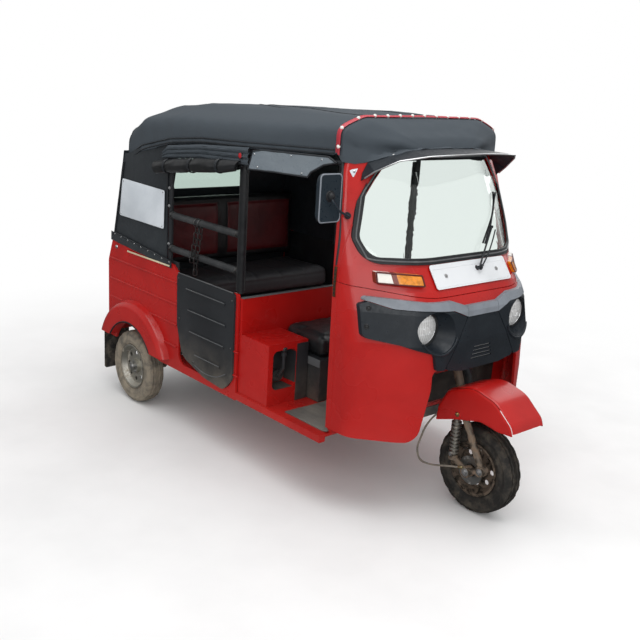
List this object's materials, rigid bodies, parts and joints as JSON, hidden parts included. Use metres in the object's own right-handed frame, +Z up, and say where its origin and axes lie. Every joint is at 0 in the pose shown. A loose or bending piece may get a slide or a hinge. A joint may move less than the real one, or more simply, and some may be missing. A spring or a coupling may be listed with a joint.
{
  "type": "auto rickshaw",
  "caption": "Three-wheeled auto rickshaw with a closed front cowl, open driver's cab, folding hood and rear passenger bench.",
  "frame": {"origin": "on the ground below the middle of the vehicle, on its centre plane", "axes": "+Z up, +Y to the rear, so the front faces -Y, +X to the vehicle's left side"},
  "size_m": [1.3263, 2.5953, 1.706],
  "materials": {
    "red_paint": "gloss",
    "black_paint": "satin",
    "black_plastic": "textured",
    "grey_plastic": "satin",
    "white_paint": "gloss",
    "clear_glass": "clear",
    "lamp_glass": "clear",
    "amber_lens": "gloss",
    "red_lens": "gloss",
    "black_rubber": "matte",
    "tyre_rubber": "matte",
    "hood_vinyl": "vinyl coated",
    "seat_vinyl": "vinyl",
    "rim_paint": "dusty",
    "bare_steel": "worn",
    "engine_cast": "cast"
  },
  "bodies": {
    "root": {"chassis_frame": "black_paint", "steering_head": "black_paint", "floor_pan": "red_paint", "front_cowl": "red_paint", "windscreen_frame": "red_paint", "windscreen_glass": "clear_glass", "windscreen_rubber": "black_rubber", "sun_visor": "black_plastic", "headlamp_panels": "black_plastic", "brow_trim": "grey_plastic", "headlamps": "lamp_glass", "front_indicators": "amber_lens", "front_plate": "white_paint", "wiper": "black_paint", "mirror": "black_plastic", "dashboard": "black_plastic", "driver_seat_box": "black_paint", "driver_cushion": "seat_vinyl", "bulkhead": "red_paint", "start_lever": "black_paint", "passenger_bench": "black_paint", "passenger_cushions": "seat_vinyl", "side_panel_right": "red_paint", "side_panel_left": "red_paint", "rear_fenders": "red_paint", "rear_panel": "red_paint", "tail_lamps": "red_lens", "rear_bumper": "black_paint", "mud_flaps": "black_rubber", "roof_frame": "black_paint", "roof_bows": "black_paint", "side_bars": "grey_plastic", "side_door_panel": "black_paint", "safety_chain": "bare_steel", "canopy_roof": "hood_vinyl", "canopy_sides": "hood_vinyl", "rear_window": "clear_glass", "side_curtains": "hood_vinyl", "engine_block": "engine_cast", "muffler": "black_paint", "trailing_arms": "black_paint", "rear_shocks": "black_paint"},
    "steering": {"handlebar": "black_plastic", "front_fork": "black_paint", "front_spring": "black_paint", "front_fender": "red_paint", "brake_hose": "black_rubber"},
    "front_wheel": {"front_wheel_tyre": "tyre_rubber", "front_wheel_rim": "rim_paint"},
    "rear_wheel_right": {"rear_wheel_right_tyre": "tyre_rubber", "rear_wheel_right_rim": "rim_paint"},
    "rear_wheel_left": {"rear_wheel_left_tyre": "tyre_rubber", "rear_wheel_left_rim": "rim_paint"},
    "hatch": {"engine_hatch": "red_paint"}
  },
  "joints": [
    {"name": "steering_turn", "type": "hinge", "parent": "root", "child": "steering", "pos_m": [0, -0.955, 0.43], "axis": [0, 0.3746, 0.9272], "range_deg": [-40, 40]},
    {"name": "front_wheel_spin", "type": "hinge", "parent": "steering", "child": "front_wheel", "pos_m": [0, -1.06, 0.205], "axis": [1, 0, 0], "continuous": true},
    {"name": "rear_wheel_right_spin", "type": "hinge", "parent": "root", "child": "rear_wheel_right", "pos_m": [-0.584, 0.94, 0.205], "axis": [1, 0, 0], "continuous": true},
    {"name": "rear_wheel_left_spin", "type": "hinge", "parent": "root", "child": "rear_wheel_left", "pos_m": [0.584, 0.94, 0.205], "axis": [1, 0, 0], "continuous": true},
    {"name": "hatch_lift", "type": "hinge", "parent": "root", "child": "hatch", "pos_m": [0, 1.269, 0.713], "axis": [1, 0, 0], "range_deg": [0, 75]}
  ]
}
